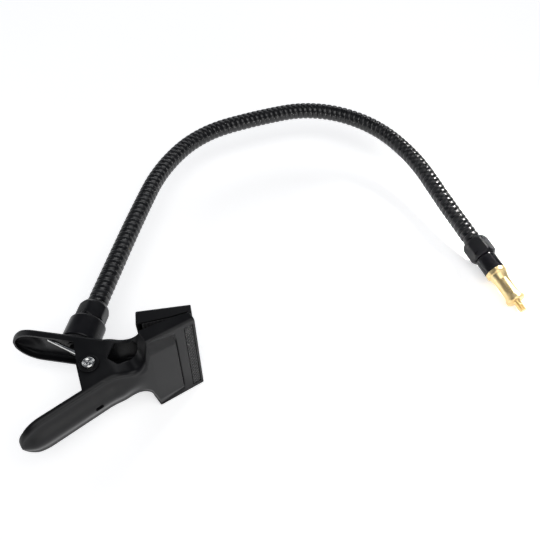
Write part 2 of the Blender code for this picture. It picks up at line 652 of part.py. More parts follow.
def make_arm_segment(index, segments, origin, mat):
    """Bent tube with a ball at its far end and a socket at its near end, centred on the joints."""
    rows = segments[index]
    first_point, first_ahead = rows[0]
    last_point, last_ahead = rows[-1]
    outer = []
    bore = []
    if index == 0:
        seat = first_point - first_ahead * (LEAD_LENGTH + TUBE_SEAT)
        outer.append(tube_ring(seat, first_ahead, TUBE_RADIUS))
        bore.append(tube_ring(seat, first_ahead, TUBE_BORE))
    else:
        cup = TUBE_RADIUS + GAP
        rim = math.sqrt(cup ** 2 - (TUBE_RADIUS - 0.2) ** 2)
        outer.append(tube_ring(first_point + first_ahead * rim, first_ahead, TUBE_RADIUS - 0.2))
        outer.append(tube_ring(first_point + first_ahead * (rim + 0.5), first_ahead, TUBE_RADIUS))
        for reach in (4.4, 5.9):
            radius = math.sqrt(cup ** 2 - reach ** 2)
            bore.append(tube_ring(first_point + first_ahead * reach, first_ahead, radius))
        bore.append(tube_ring(first_point + first_ahead * math.sqrt(cup ** 2 - TUBE_BORE ** 2), first_ahead,
                              TUBE_BORE))
    for point, ahead in rows[2:-2:2]:
        outer.append(tube_ring(point, ahead, TUBE_RADIUS))
        bore.append(tube_ring(point, ahead, TUBE_BORE))
    if index == ARM_SEGMENTS - 1:
        outer.append(tube_ring(last_point, last_ahead, TUBE_RADIUS))
        end = last_point + last_ahead * (TAIL_LENGTH + TUBE_SEAT)
        outer.append(tube_ring(end, last_ahead, TUBE_RADIUS))
        bore.append(tube_ring(end, last_ahead, TUBE_BORE))
    else:
        outer.append(tube_ring(last_point, last_ahead, TUBE_RADIUS))
        for reach in (2.9, 5.0):
            radius = math.sqrt(TUBE_RADIUS ** 2 - reach ** 2)
            outer.append(tube_ring(last_point + last_ahead * reach, last_ahead, radius))
        tip = math.sqrt(TUBE_RADIUS ** 2 - TUBE_BORE ** 2)
        bore.append(tube_ring(last_point + last_ahead * tip, last_ahead, TUBE_BORE))
    return add_object("arm_segment_%d" % (index + 1), loft(outer + bore[::-1], ring=True), origin, mat, 40)


def make_arm(mat, origin_first):
    segments = arm_route()
    for index in range(ARM_SEGMENTS):
        origin = origin_first if index == 0 else segments[index][0][0]
        make_arm_segment(index, segments, origin, mat)
    return segments


def make_tip(segments, plastic, brass):
    """Tip ferrule, socket and spigot; they move with the last segment."""
    point, ahead = segments[-1][-1]
    origin = segments[-1][0][0]
    frame = axis_frame(point, ahead)
    make_ferrule("tip_ferrule", frame, TAIL_LENGTH, TIP_FERRULE_LENGTH, False, origin, plastic)
    socket = TAIL_LENGTH + TIP_FERRULE_LENGTH + GAP
    end = socket + SOCKET_LENGTH
    profile = [(SOCKET_RADIUS - 0.3, socket), (SOCKET_RADIUS, socket + 0.5), (SOCKET_RADIUS, end - 0.5),
               (SOCKET_RADIUS - 0.3, end)]
    add_object("tip_socket", turned(frame, profile, 32), origin, plastic, 35)
    base = end + GAP
    profile = [(SPIGOT_BASE - 0.3, 0.0), (SPIGOT_BASE, 0.4), (SPIGOT_BASE, 3.2), (SPIGOT_BASE - 0.7, 4.0),
               (7.4, 5.2), (SPIGOT_NECK + 0.3, 8.4), (SPIGOT_NECK, 9.6), (SPIGOT_NECK, 24.2),
               (SPIGOT_NECK + 0.3, 25.0), (SPIGOT_TIP - 0.2, 27.6), (SPIGOT_TIP, 28.0), (SPIGOT_TIP, 30.4),
               (SPIGOT_TIP - 0.6, 31.0), (THREAD_RADIUS, 31.0), (THREAD_RADIUS, 39.6), (THREAD_RADIUS - 0.7, 40.4)]
    profile = [(radius, base + n) for radius, n in profile]
    add_object("brass_spigot", turned(frame, profile, 32), origin, brass, 30)


def main():
    clear_scene()
    painted = material("painted_steel", (0.012, 0.012, 0.013), 0.0, 0.32)
    rubber = material("rubber", (0.02, 0.02, 0.021), 0.0, 0.8)
    zinc = material("zinc_steel", (0.62, 0.62, 0.6), 1.0, 0.3)
    collar = material("black_collar", (0.014, 0.014, 0.016), 0.0, 0.4)
    arm = material("black_gooseneck", (0.01, 0.01, 0.011), 0.3, 0.35)
    brass = material("brass", (0.78, 0.56, 0.2), 1.0, 0.25)
    make_lower_shell(painted)
    make_upper_shell(painted)
    make_pad("lower_pad", lower_frame(), rubber)
    make_pad("upper_pad", upper_frame(), rubber)
    make_rivet(zinc)
    make_rivet_washers(painted)
    make_sleeve(zinc)
    make_spring_half("spring_upper_half", True, zinc)
    make_spring_half("spring_lower_half", False, zinc)
    make_boss_pieces(collar, rubber, painted)
    frame = boss_frame()
    make_ferrule("base_ferrule", frame, boss_levels()[2], FERRULE_LENGTH, True, frame.origin, collar)
    segments = make_arm(arm, frame.origin)
    make_tip(segments, collar, brass)


main()
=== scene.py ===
"""Looks of a spring clamp with a gooseneck arm and a brass spigot, on a pale studio floor.

Lengths are in millimetres; MM turns them into the scene's metres. Each piece is modelled in a local
frame of its own (x, y, z) and placed by its object's matrix.
"""

import json
import math

import bmesh
import bpy
from mathutils import Matrix, Vector


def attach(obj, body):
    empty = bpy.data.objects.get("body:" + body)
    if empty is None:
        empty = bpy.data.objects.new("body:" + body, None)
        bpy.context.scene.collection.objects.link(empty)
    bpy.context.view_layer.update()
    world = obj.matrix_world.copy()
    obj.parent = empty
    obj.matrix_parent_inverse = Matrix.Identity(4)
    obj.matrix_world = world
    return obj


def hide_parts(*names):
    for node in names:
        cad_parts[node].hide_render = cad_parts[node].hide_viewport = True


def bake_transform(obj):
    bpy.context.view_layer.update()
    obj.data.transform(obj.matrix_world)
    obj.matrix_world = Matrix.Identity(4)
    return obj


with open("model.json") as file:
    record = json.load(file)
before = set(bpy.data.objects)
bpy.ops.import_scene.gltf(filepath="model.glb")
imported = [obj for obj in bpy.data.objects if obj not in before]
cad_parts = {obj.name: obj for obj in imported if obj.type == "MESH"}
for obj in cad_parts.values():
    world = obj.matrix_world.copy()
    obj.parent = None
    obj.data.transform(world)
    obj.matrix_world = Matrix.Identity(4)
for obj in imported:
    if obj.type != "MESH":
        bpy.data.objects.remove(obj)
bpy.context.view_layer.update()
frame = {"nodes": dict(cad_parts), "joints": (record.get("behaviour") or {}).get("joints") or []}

MM = 0.001
UP = Vector((0.0, 0.0, 1.0))
JOINTS = {joint["name"]: joint for joint in frame["joints"]}
PIVOT = Vector(JOINTS["jaw_pivot"]["pos_m"]) / MM
GAP = 0.3

# ---- clamp ---------------------------------------------------------------------------------------
LOWER_HEADING = 34.0
UPPER_HEADING = 9.5
HALF_ANGLE = (LOWER_HEADING - UPPER_HEADING) / 2.0
SHEET = 1.4
HANDLE_BEND = 3.2
JAW_BEND = 2.0
JAW_HALF_WIDTH = 39.0
JAW_BACK = 21.5
JAW_START = 33.6
LOWER_JAW_TIP = 68.5
UPPER_JAW_TIP = 69.8
TIP_CORNER = 0.8
NECK_START = 22.0
UPPER_NECK_FLARE = (10.0, 10.0)
LOWER_NECK_FLARE = (9.0, 12.0)
LOWER_JAW_SLANT = 2.6
NECK_STEP = 3.5
LOWER_NECK_EDGE = 9.0
UPPER_NECK_EDGE = 17.2
UPPER_NECK_DEEPENS = 28.0
EAR_RADIUS = 9.5
EAR_REAR = -11.5
EAR_FRONT = 15.4
EAR_ARC_HALF = 7.0
EAR_ARC_END = -5.9
LOWER_HANDLE_FLANGE = 4.0
UPPER_HANDLE_FLANGE = 6.5
HANDLE_CROWN = 4.5
HANDLE_ROUND = 17.0
TIP_DROP = 1.6
LOWER_KINK = 6.3
LOWER_KINK_AT = 2.0
UPPER_KINK = 18.5
UPPER_KINK_AT = 8.2
LOWER_HANDLE_HALF_WIDTH = 16.5
UPPER_HANDLE_HALF_WIDTH = 14.8
LOWER_HANDLE_END = -57.5
UPPER_HANDLE_END = -56.5
LOWER_HANDLE_BACK = 17.9
JAW_FLANGE_REAR = 10.5
FLANGES_MEET = 57.0
FLANGE_CLEAR = 0.7
PANEL_RISE = 2.1
PANEL_FRONT = 52.5
PANEL_INNER = 26.0
PANEL_INNER_GROWS = 4.0
PANEL_OUTER = 36.4
PANEL_OUTER_SHRINKS = 5.0
CREASE_DEPTH = 0.7
CREASE_WIDTH = 0.5
SLOT_REAR = 60.2
SLOT_FRONT = 66.9
SLOT_HALF_LENGTH = 34.0
EAR_HOLE_RADIUS = 3.25
SCREW_HOLE_RADIUS = 3.4
HANDLE_HOLE_AT = -6.0
HANDLE_HOLE_HALF = (3.0, 1.8)

# ---- pads, rivet and spring ----------------------------------------------------------------------
PAD_REAR = 37.2
PAD_FRONT = 67.6
PAD_PROUD = 0.45
KEY_BELOW = 0.1
KNURL_PITCH = 3.3
KNURL_DEPTH = 0.6
RIVET_RADIUS = 3.0
RIVET_HEAD_RADIUS = 4.0
RIVET_HEAD_HEIGHT = 1.7
RIVET_SIDES = 72
WASHER_RADIUS = 6.5
WASHER_THICK = 1.0
SPRING_WIRE = 1.35
SPRING_RADIUS = 6.5
SPRING_HALF_SPAN = 9.5
SPRING_TURNS = 5
UPPER_LEG_REACH = (38.0, 19.2)
LOWER_LEG_REACH = (38.0, 18.9)

# ---- arm -----------------------------------------------------------------------------------------
ARM_HEADING = 81.0
BOSS_ALONG_HANDLE = 20.0
HANDLE_PLANE = 23.0
GASKET_THICK = 1.2
BOSS_RADIUS = 13.3
BOSS_LENGTH = 18.7
FERRULE_FLATS = 20.5
FERRULE_CORNER = 11.4
FERRULE_FACE = 9.7
FERRULE_CONE = 1.7
FERRULE_BORE = 4.0
BASE_FERRULE_LENGTH = 14.3
TIP_FERRULE_LENGTH = 17.2
SEGMENT_LENGTH = 58.7
LEAD_LENGTH = 12.5
ARM_TURNS = (-1.5, -2.0, -19.5, -31.5, -6.5, -38.5, -33.0, -19.5, 4.0)
ARM_CLIMBS = (0.0, 1.9, 2.2, 1.2, -0.2, -1.6, -4.2, -6.3, -6.7, -8.8)
TAIL_LENGTH = 19.5
TUBE_SEAT = 4.0
TUBE_START = -LEAD_LENGTH - TUBE_SEAT
TUBE_RADIUS = 7.6
RIDGE_PITCH = 5.1
RIDGE_DEPTH = 0.85
SOCKET_RADIUS = 8.7
SOCKET_LENGTH = 14.6
SPIGOT_BASE = 8.75
SPIGOT_NECK = 6.3
SPIGOT_TIP = 7.95
THREAD_RADIUS = 3.175
THREAD_PITCH = 1.27
THREAD_DEPTH = 0.7

# ---- stage ---------------------------------------------------------------------------------------
FLOOR_GLOW = 0.6
CAMERA_FROM_PIVOT = (117.8, -222.0, 354.8)
CAMERA_PITCH = 48.0
CAMERA_LENS = 40.947


# ---- mesh helpers --------------------------------------------------------------------------------
def smooth_step(value, low, high):
    t = min(1.0, max(0.0, (value - low) / (high - low)))
    return t * t * (3.0 - 2.0 * t)


def plan_vector(heading):
    angle = math.radians(heading)
    return Vector((math.cos(angle), math.sin(angle), 0.0))


def placement(origin, x_axis, y_axis, z_axis):
    """Matrix that places a piece modelled in local millimetres at a point in the part's frame."""
    columns = Matrix((x_axis, y_axis, z_axis)).transposed().to_4x4()
    return Matrix.Translation(Vector(origin) * MM) @ columns


def axis_placement(origin, direction):
    """Placement whose z runs along a direction."""
    z_axis = Vector(direction).normalized()
    y_axis = UP if abs(z_axis.z) < 0.9 else Vector((1.0, 0.0, 0.0))
    y_axis = (y_axis - z_axis * y_axis.dot(z_axis)).normalized()
    return placement(origin, y_axis.cross(z_axis), y_axis, z_axis)


def make_piece(name, bm, matrix, mat, sharp=35.0):
    """Object from a bmesh in local millimetres."""
    for vert in bm.verts:
        vert.co *= MM
    bmesh.ops.recalc_face_normals(bm, faces=bm.faces)
    mesh = bpy.data.meshes.new(name)
    bm.to_mesh(mesh)
    bm.free()
    mesh.materials.append(mat)
    mesh.shade_smooth()
    mesh.set_sharp_from_angle(angle=math.radians(sharp))
    piece = bpy.data.objects.new(name, mesh)
    bpy.context.scene.collection.objects.link(piece)
    piece.matrix_world = matrix
    return piece


def loft(rows, ring=False):
    """Join rings of equal length into a tube; ring joins the last to the first instead of capping."""
    bm = bmesh.new()
    loops = [[bm.verts.new(p) for p in row] for row in rows]
    count = len(loops[0])
    pairs = list(zip(loops, loops[1:]))
    if ring:
        pairs.append((loops[-1], loops[0]))
    for low, high in pairs:
        for i in range(count):
            j = (i + 1) % count
            bm.faces.new((low[i], low[j], high[j], high[i]))
    if not ring:
        bm.faces.new(loops[0][::-1])
        bm.faces.new(loops[-1])
    return bm


def filleted(profile, radius, steps=4):
    """Profile of (radius, z) points with each inner corner rounded by an arc-like curve."""
    points = [Vector(p) for p in profile]
    rounded = [points[0]]
    for before, corner, after in zip(points, points[1:], points[2:]):
        reach = min(radius, 0.45 * (corner - before).length, 0.45 * (after - corner).length)
        start = corner + (before - corner).normalized() * reach
        end = corner + (after - corner).normalized() * reach
        for k in range(steps + 1):
            t = k / steps
            rounded.append(start * (1 - t) ** 2 + corner * 2 * t * (1 - t) + end * t ** 2)
    rounded.append(points[-1])
    return [(p.x, p.y) for p in rounded]


def turned_rings(profile, sides):
    """A ring of points about z for each (radius, z) of a profile."""
    turns = [2 * math.pi * k / sides for k in range(sides)]
    return [[Vector((radius * math.cos(turn), radius * math.sin(turn), z)) for turn in turns]
            for radius, z in profile]


def lathe(profile, sides=96, closed=False):
    """Solid of revolution about z; an open profile is closed by small end discs."""
    return loft(turned_rings(profile, sides), ring=closed)


def bake(piece):
    """Replace a piece's mesh by its evaluated one and drop its modifiers."""
    bpy.context.view_layer.update()
    graph = bpy.context.evaluated_depsgraph_get()
    mesh = bpy.data.meshes.new_from_object(piece.evaluated_get(graph))
    piece.modifiers.clear()
    piece.data = mesh


def carve(piece, cutters):
    """Cut closed shapes out of a piece; the cutters are bmeshes in its local millimetres."""
    tools = []
    for bm in cutters:
        tool = make_piece("cutter", bm, piece.matrix_world, piece.data.materials[0])
        mod = piece.modifiers.new("cut", 'BOOLEAN')
        mod.operation = 'DIFFERENCE'
        mod.solver = 'EXACT'
        mod.object = tool
        tools.append(tool)
    bake(piece)
    for tool in tools:
        bpy.data.objects.remove(tool, do_unlink=True)


def soften(piece, width):
    """Round a piece's sharp edges a little."""
    bevel = piece.modifiers.new("edges", 'BEVEL')
    bevel.width = width * MM
    bevel.segments = 2
    bevel.limit_method = 'ANGLE'
    bevel.angle_limit = math.radians(50.0)
    bevel.harden_normals = False
    normals = piece.modifiers.new("normals", 'WEIGHTED_NORMAL')
    normals.keep_sharp = True


def finish_piece(piece, body, slot, *nodes):
    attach(piece, body)
    if nodes:
        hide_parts(*nodes)
    return piece


# ---- materials -----------------------------------------------------------------------------------
class Look:
    """A Principled material with helpers for noise, ramps and bump."""

    def __init__(self, name, metallic, specular=0.5):
        self.mat = bpy.data.materials.new(name)
        self.mat.use_nodes = True
        self.nodes = self.mat.node_tree.nodes
        self.links = self.mat.node_tree.links
        self.shader = self.nodes["Principled BSDF"]
        self.shader.inputs["Metallic"].default_value = metallic
        self.shader.inputs["Specular IOR Level"].default_value = specular
        self.coords = self.nodes.new("ShaderNodeTexCoord").outputs["Object"]

    def stretched(self, scale):
        mapping = self.nodes.new("ShaderNodeMapping")
        mapping.inputs["Scale"].default_value = scale
        self.links.new(self.coords, mapping.inputs["Vector"])
        return mapping.outputs["Vector"]

    def noise(self, size, detail=3.0, vector=None):
        """Noise with features of a size in millimetres."""
        node = self.nodes.new("ShaderNodeTexNoise")
        node.inputs["Scale"].default_value = 1.0 / (size * MM)
        node.inputs["Detail"].default_value = detail
        self.links.new(vector or self.coords, node.inputs["Vector"])
        return node.outputs["Fac"]

    def grain(self, size, vector=None):
        node = self.nodes.new("ShaderNodeTexVoronoi")
        node.inputs["Scale"].default_value = 1.0 / (size * MM)
        self.links.new(vector or self.coords, node.inputs["Vector"])
        return node.outputs["Distance"]

    def openness(self, reach):
        """How little is near a point within a reach in millimetres: 1 in the open, 0 deep in a hollow."""
        node = self.nodes.new("ShaderNodeAmbientOcclusion")
        node.inputs["Distance"].default_value = reach * MM
        node.samples = 8
        return node.outputs["AO"]

    def ramp(self, value, stops):
        node = self.nodes.new("ShaderNodeValToRGB")
        elements = node.color_ramp.elements
        while len(elements) < len(stops):
            elements.new(0.5)
        for element, (place, colour) in zip(elements, stops):
            element.position = place
            element.color = (*colour, 1.0)
        self.links.new(value, node.inputs["Fac"])
        return node.outputs["Color"]

    def remap(self, value, low, high, start=0.3, stop=0.7):
        node = self.nodes.new("ShaderNodeMapRange")
        node.inputs["From Min"].default_value = start
        node.inputs["From Max"].default_value = stop
        node.inputs["To Min"].default_value = low
        node.inputs["To Max"].default_value = high
        self.links.new(value, node.inputs["Value"])
        return node.outputs["Result"]

    def bump(self, value, height, after=None):
        """Bump of a height in millimetres, on top of an earlier bump."""
        node = self.nodes.new("ShaderNodeBump")
        node.inputs["Strength"].default_value = 1.0
        node.inputs["Distance"].default_value = height * MM
        self.links.new(value, node.inputs["Height"])
        if after is not None:
            self.links.new(after, node.inputs["Normal"])
        return node.outputs["Normal"]

    def done(self, colour, roughness, normal):
        self.links.new(colour, self.shader.inputs["Base Color"])
        self.links.new(roughness, self.shader.inputs["Roughness"])
        self.links.new(normal, self.shader.inputs["Normal"])
        return self.mat


def painted_steel_look():
    """Smooth semi-gloss black powder coat with a slight orange peel, smudges and hairline scuffs, and
    painted shade that turns its specular down in hollows.
    """
    look = Look("black_powder_coat", 0.0)
    # Painted shade: ambient occlusion turns the specular level down in hollows and inside the clamp, which
    # darkens them.
    painted_hollow_shade = look.remap(look.openness(30.0), 0.02, 0.25, 0.35, 0.9)
    look.links.new(painted_hollow_shade, look.shader.inputs["Specular IOR Level"])
    smudge = look.noise(22.0, 5.0)
    scuff = look.noise(1.2, 2.0, look.stretched((1.0, 9.0, 9.0)))
    colour = look.ramp(smudge, [(0.35, (0.0065, 0.0065, 0.0075)), (0.6, (0.009, 0.009, 0.0098)),
                                (0.72, (0.0125, 0.0125, 0.0135))])
    roughness = look.remap(smudge, 0.32, 0.44)
    peel = look.bump(look.noise(1.6, 2.0), 0.006)
    normal = look.bump(scuff, 0.0035, after=peel)
    return look.done(colour, roughness, normal)


def rubber_look():
    """Matt black rubber with a fine grain and a little dust."""
    look = Look("black_rubber", 0.0, specular=0.5)
    dust = look.noise(6.0, 6.0)
    colour = look.ramp(dust, [(0.3, (0.012, 0.012, 0.0125)), (0.62, (0.02, 0.02, 0.021)),
                              (0.8, (0.035, 0.035, 0.036))])
    roughness = look.remap(dust, 0.42, 0.62)
    normal = look.bump(look.grain(0.35), 0.03)
    return look.done(colour, roughness, normal)


def zinc_look():
    """Bright zinc plate with drawn lines and faint clouding."""
    look = Look("bright_zinc", 1.0)
    cloud = look.noise(3.5, 4.0)
    colour = look.ramp(cloud, [(0.3, (0.58, 0.58, 0.57)), (0.6, (0.78, 0.78, 0.76)),
                               (0.8, (0.86, 0.85, 0.82))])
    roughness = look.remap(cloud, 0.16, 0.32)
    normal = look.bump(look.noise(0.25, 2.0, look.stretched((1.0, 1.0, 0.2))), 0.008)
    return look.done(colour, roughness, normal)


def collar_look(name, low, high, peel):
    """Black moulded collar: fine mould grain, with a gloss set by its roughness range."""
    look = Look(name, 0.0, specular=0.24)
    cloud = look.noise(9.0, 4.0)
    colour = look.ramp(cloud, [(0.3, (0.007, 0.007, 0.0085)), (0.7, (0.012, 0.012, 0.0138))])
    roughness = look.remap(cloud, low, high)
    normal = look.bump(look.noise(0.5, 3.0), peel)
    return look.done(colour, roughness, normal)


def gooseneck_look():
    """Glossy black lacquer on the wound ridges, with cloudy patches of tone and gloss."""
    look = Look("black_gooseneck_lacquer", 0.0, specular=0.55)
    coords = look.nodes.new("ShaderNodeUVMap").outputs["UV"]
    mapping = look.nodes.new("ShaderNodeMapping")
    mapping.inputs["Scale"].default_value = (0.05, 0.05, 0.05)
    look.links.new(coords, mapping.inputs["Vector"])
    look.coords = mapping.outputs["Vector"]
    cloud = look.noise(8.0, 5.0)
    colour = look.ramp(cloud, [(0.3, (0.006, 0.006, 0.0065)), (0.62, (0.010, 0.010, 0.011)),
                               (0.8, (0.018, 0.018, 0.019))])
    roughness = look.remap(cloud, 0.2, 0.36)
    normal = look.bump(look.noise(0.9, 3.0), 0.02)
    return look.done(colour, roughness, normal)


def brass_look():
    """Turned brass: fine tool rings about the axis, with warm and pale patches."""
    look = Look("turned_brass", 1.0)
    patch = look.noise(5.0, 4.0)
    rings = look.noise(0.22, 3.0, look.stretched((0.02, 0.02, 1.0)))
    colour = look.ramp(patch, [(0.3, (0.86, 0.64, 0.30)), (0.55, (0.93, 0.73, 0.38)),
                               (0.8, (0.97, 0.82, 0.50))])
    roughness = look.remap(rings, 0.27, 0.42)
    normal = look.bump(rings, 0.012)
    return look.done(colour, roughness, normal)


# ---- clamp shells --------------------------------------------------------------------------------
class Shell:
    """Pressed clamp half in its own frame: x along the jaw, y along the pivot, z outwards."""

    def __init__(self, half_width, handle_end, upper):
        self.half_width = half_width
        self.handle_end = handle_end
        self.upper = upper
        self.tip = UPPER_JAW_TIP if upper else LOWER_JAW_TIP
        self.flare = UPPER_NECK_FLARE if upper else LOWER_NECK_FLARE
        self.slant = 0.0 if upper else LOWER_JAW_SLANT

    def back(self, a):
        if self.upper:
            return JAW_BACK + max(0.0, UPPER_KINK_AT - a) * math.tan(math.radians(UPPER_KINK))
        kinked = LOWER_HANDLE_BACK + max(0.0, LOWER_KINK_AT - a) * math.tan(math.radians(LOWER_KINK))
        return kinked + (JAW_BACK - LOWER_HANDLE_BACK) * smooth_step(a, 5.0, JAW_START)

    def bend(self, a):
        return HANDLE_BEND + (JAW_BEND - HANDLE_BEND) * smooth_step(a, EAR_FRONT, JAW_START)

    def flange_edge(self, a):
        """z of the side wall's free edge."""
        meet = math.tan(math.radians(HALF_ANGLE))
        if a >= FLANGES_MEET:
            return a * meet + FLANGE_CLEAR
        if a >= JAW_START:
            share = (a - JAW_START) / (FLANGES_MEET - JAW_START)
            return JAW_FLANGE_REAR + (FLANGES_MEET * meet + FLANGE_CLEAR - JAW_FLANGE_REAR) * share
        handle = self.back(a) - (UPPER_HANDLE_FLANGE if self.upper else LOWER_HANDLE_FLANGE)
        neck = UPPER_NECK_EDGE if self.upper else LOWER_NECK_EDGE
        deepens = UPPER_NECK_DEEPENS if self.upper else EAR_FRONT
        if a >= EAR_FRONT:
            share = max(0.0, (a - deepens) / (JAW_START - deepens))
            return neck + (JAW_FLANGE_REAR - neck) * share
        if a > EAR_ARC_HALF:
            share = (a - EAR_ARC_HALF) / (EAR_FRONT - EAR_ARC_HALF)
            return EAR_ARC_END + (neck - EAR_ARC_END) * share
        if a >= -EAR_ARC_HALF:
            return -math.sqrt(EAR_RADIUS ** 2 - a * a) + 0.5
        if a > EAR_REAR:
            share = (-EAR_ARC_HALF - a) / (-EAR_ARC_HALF - EAR_REAR)
            return EAR_ARC_END + (handle - EAR_ARC_END) * share
        return handle

    def lift(self, a, w, flat):
        """Height of the pressed shapes above the back: the handle's crown and the jaw's panel."""
        if self.upper:
            fade = 1.0 - smooth_step(a, -46.0, -34.0)
        else:
            fade = 1.0 - smooth_step(a, 8.0, 31.0)
        crown = HANDLE_CROWN * fade * min(1.0, flat / (self.half_width - HANDLE_BEND))
        crown *= math.cos(0.5 * math.pi * w / flat) ** 2
        share = min(1.0, max(0.0, (a - JAW_START) / (PANEL_FRONT - JAW_START)))
        inner = min(PANEL_INNER + PANEL_INNER_GROWS * share, 0.7 * flat)
        outer = min(PANEL_OUTER - PANEL_OUTER_SHRINKS * share, 0.98 * flat)
        rise = PANEL_RISE * smooth_step(a, 22.0, 36.0)
        rise *= 1.0 - smooth_step(a, PANEL_FRONT - 0.2, PANEL_FRONT + 0.7)
        crease = CREASE_DEPTH * math.exp(-((a - PANEL_FRONT - 0.7) / CREASE_WIDTH) ** 2)
        side = CREASE_DEPTH * math.exp(-((abs(w) - outer - 0.6) / (2.2 * CREASE_WIDTH)) ** 2)
        side *= smooth_step(a, 27.0, 35.0) * (1.0 - smooth_step(a, PANEL_FRONT + 0.4, PANEL_FRONT + 1.4))
        return crown + (rise - crease) * (1.0 - smooth_step(abs(w), inner, outer)) - side

    def stations(self, inset):
        """(a, half width) along the half, with the round tip and the flared neck."""
        rows = []
        centre = self.handle_end + HANDLE_ROUND
        length = HANDLE_ROUND - inset
        width = self.half_width - inset
        for k in range(15):
            angle = math.radians(9.0 + 81.0 * k / 14)
            rows.append((centre - length * math.cos(angle), width * math.sin(angle)))
        a = centre + 2.5
        while a < EAR_REAR - 0.6:
            rows.append((a, width))
            a += 2.5
        for k in range(31):
            a = EAR_REAR + k * 1.08
            rows.append((a, width - NECK_STEP * smooth_step(a, 9.8, NECK_START)))
        neck = self.half_width - NECK_STEP
        flare_end = JAW_START - self.slant
        for k in range(16):
            angle = math.radians(78.0 * k / 15)
            rows.append((flare_end - self.flare[0] + (self.flare[0] + inset) * math.sin(angle),
                         neck + self.flare[1] - (self.flare[1] + inset) * math.cos(angle)))
        full = JAW_HALF_WIDTH - inset
        rows.append((flare_end + inset - 0.05, neck + self.flare[1] - 0.6))
        if inset:
            rows.append((JAW_START + inset, full))
        else:
            rows.append((JAW_START, full - 1.0))
            rows.append((JAW_START + 0.3, full - 0.3))
            rows.append((JAW_START + 1.0, full))
        steps = [PANEL_FRONT + 0.25 * k for k in range(-2, 9)]
        for a in (37.0, 39.0, 42.0, 45.0, 48.0, 50.5, *steps, 56.0, FLANGES_MEET + 0.2, 59.0, 62.0, 64.5):
            rows.append((a, full))
        if inset:
            rows.append((self.tip + 3.0, full))
        else:
            for deg in (0, 22.5, 45, 67.5, 90):
                angle = math.radians(deg)
                rows.append((self.tip - TIP_CORNER * (1.0 - math.sin(angle)),
                             full - TIP_CORNER * (1.0 - math.cos(angle))))
        return rows

    def section(self, a, half, inset, open_to=None):
        tip_drop = TIP_DROP * (1.0 - smooth_step(a, self.handle_end, self.handle_end + 9.0))
        back = self.back(a) - inset - tip_drop
        edge = self.flange_edge(a) if open_to is None else open_to
        bend = min(self.bend(a) - inset, 0.8 * half)
        flat = half - bend
        arc = [math.radians(deg) for deg in (10, 20, 30, 40, 50, 60, 70, 80)]
        side = [(half, edge), (half, back - bend)]
        side += [(flat + bend * math.cos(angle), back - bend + bend * math.sin(angle)) for angle in arc]
        top = []
        count = 100
        for k in range(count + 1):
            w = flat * (2.0 * k / count - 1.0)
            top.append((w, back + self.lift(a, w, flat)))
        points = [(-w, n) for w, n in side] + top + side[::-1]
        return [Vector((a, w, n)) for w, n in points]

    def outside(self):
        return loft([self.section(a, half, 0.0) for a, half in self.stations(0.0)])

    def inside(self):
        deep = -EAR_RADIUS - 8.0
        return loft([self.section(a, half, SHEET, deep) for a, half in self.stations(SHEET)])


def slotted(centre, half, radius, low, high, steps=8):
    """Prism along z with a rounded rectangular outline."""
    outline = []
    for quadrant, (sign_a, sign_w) in enumerate(((1, 1), (-1, 1), (-1, -1), (1, -1))):
        for k in range(steps + 1):
            angle = math.radians(90.0 * quadrant + 90.0 * k / steps)
            outline.append((centre[0] + sign_a * (half[0] - radius) + radius * math.cos(angle),
                            centre[1] + sign_w * (half[1] - radius) + radius * math.sin(angle)))
    return loft([[Vector((a, w, n)) for a, w in outline] for n in (low, high)])


def pivot_hole():
    """Cylinder across the ears, along y."""
    rows = []
    for y in (-25.0, 25.0):
        rows.append([Vector((EAR_HOLE_RADIUS * math.cos(2 * math.pi * k / 48), y,
                             EAR_HOLE_RADIUS * math.sin(2 * math.pi * k / 48))) for k in range(48)])
    return loft(rows)


def jaw_slot():
    half = ((SLOT_FRONT - SLOT_REAR) / 2.0, SLOT_HALF_LENGTH)
    return slotted(((SLOT_REAR + SLOT_FRONT) / 2.0, 0.0), half, 0.6, JAW_BACK - 4.0, JAW_BACK + 4.0)


def lower_matrix():
    return placement(PIVOT, plan_vector(LOWER_HEADING), UP, plan_vector(LOWER_HEADING - 90.0))


def upper_matrix():
    return placement(PIVOT, plan_vector(UPPER_HEADING), -UP, plan_vector(UPPER_HEADING + 90.0))


def make_lower_shell(mat):
    shell = Shell(LOWER_HANDLE_HALF_WIDTH, LOWER_HANDLE_END, False)
    piece = make_piece("clamp_lower_half", shell.outside(), lower_matrix(), mat)
    hole = slotted((HANDLE_HOLE_AT, 0.0), HANDLE_HOLE_HALF, 0.95 * HANDLE_HOLE_HALF[1], 12.0, 32.0)
    carve(piece, [shell.inside(), pivot_hole(), jaw_slot(), hole])
    piece.data.set_sharp_from_angle(angle=math.radians(35.0))
    soften(piece, 0.22)
    return finish_piece(piece, "lower_half", "painted_steel", "lower_shell")


def screw_hole():
    """Hole square to the upper handle, where the boss's screw goes through."""
    handle = plan_vector(180.0 - UPPER_KINK)
    out = plan_vector(90.0 - UPPER_KINK)
    place = handle * BOSS_ALONG_HANDLE + out * HANDLE_PLANE
    rows = []
    for reach in (-8.0, 8.0):
        ring = []
        for k in range(48):
            angle = 2 * math.pi * k / 48
            point = place + out * reach + handle * SCREW_HOLE_RADIUS * math.cos(angle)
            ring.append(Vector((point.x, SCREW_HOLE_RADIUS * math.sin(angle), point.y)))
        rows.append(ring)
    return loft(rows)


def make_upper_shell(mat):
    shell = Shell(UPPER_HANDLE_HALF_WIDTH, UPPER_HANDLE_END, True)
    piece = make_piece("clamp_upper_half", shell.outside(), upper_matrix(), mat)
    carve(piece, [shell.inside(), pivot_hole(), jaw_slot(), screw_hole()])
    piece.data.set_sharp_from_angle(angle=math.radians(35.0))
    soften(piece, 0.22)
    return finish_piece(piece, "upper_half", "painted_steel", "upper_shell")


